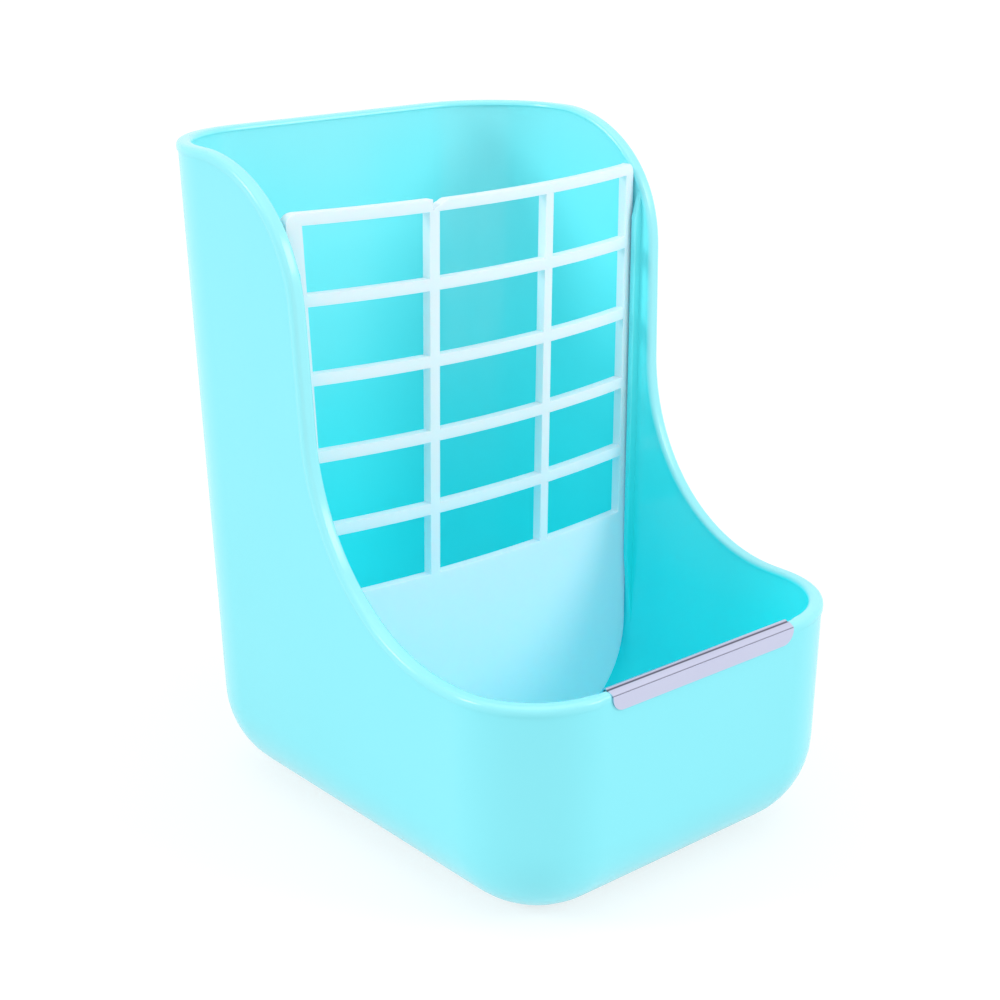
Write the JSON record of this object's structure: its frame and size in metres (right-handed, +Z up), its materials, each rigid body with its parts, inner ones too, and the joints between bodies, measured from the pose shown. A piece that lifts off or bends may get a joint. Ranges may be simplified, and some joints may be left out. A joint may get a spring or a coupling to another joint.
{
  "type": "hay feeder box",
  "caption": "Tall moulded feeder for small pets: a hay rack behind a bowed lift-out grid, over an open food bowl with a metal-edged rim, clamped to a cage by its back.",
  "frame": {"origin": "middle of the box's footprint on the ground, where the flat foot rests", "axes": "+Z up, the bowl and the grid's face towards -Y, the cage fixings towards +Y, +X to the right seen from the front"},
  "size_m": [0.1258, 0.1763, 0.18],
  "materials": {
    "box_plastic": "glossy aqua blue moulded plastic",
    "grid_plastic": "glossy pale icy white plastic, faintly translucent",
    "guard_metal": "satin folded sheet steel",
    "fixing_metal": "bright zinc-plated steel",
    "disc_plastic": "white moulded plastic"
  },
  "bodies": {
    "feeder": {"feeder_box": "box_plastic", "edge_guard": "guard_metal", "left_stud": "fixing_metal", "right_stud": "fixing_metal"},
    "grid": {"hay_grid": "grid_plastic"},
    "left_disc": {"left_clamp_disc": "disc_plastic"},
    "right_disc": {"right_clamp_disc": "disc_plastic"},
    "left_nut": {"left_wing_nut": "fixing_metal"},
    "right_nut": {"right_wing_nut": "fixing_metal"}
  },
  "joints": [
    {"name": "hay_grid_lift", "type": "slide", "parent": "feeder", "child": "grid", "axis": [0, 0.0244, 0.9997], "range_m": [0, 0.18]},
    {"name": "left_clamp_disc_slide", "type": "slide", "parent": "feeder", "child": "left_disc", "axis": [0, 1, 0], "range_m": [-0.0044, 0.0072]},
    {"name": "left_wing_nut_turn", "type": "hinge", "parent": "left_disc", "child": "left_nut", "pos_m": [-0.025, 0.08622, 0.14], "axis": [0, 1, 0], "range_deg": [-1980, 3240]},
    {"name": "right_clamp_disc_slide", "type": "slide", "parent": "feeder", "child": "right_disc", "axis": [0, 1, 0], "range_m": [-0.0044, 0.0072]},
    {"name": "right_wing_nut_turn", "type": "hinge", "parent": "right_disc", "child": "right_nut", "pos_m": [0.025, 0.08622, 0.14], "axis": [0, 1, 0], "range_deg": [-1980, 3240]}
  ],
  "couplings": [
    {"joint": "left_clamp_disc_slide", "follows": "left_wing_nut_turn", "m_per_rad": 0.00012732},
    {"joint": "right_clamp_disc_slide", "follows": "right_wing_nut_turn", "m_per_rad": 0.00012732}
  ]
}
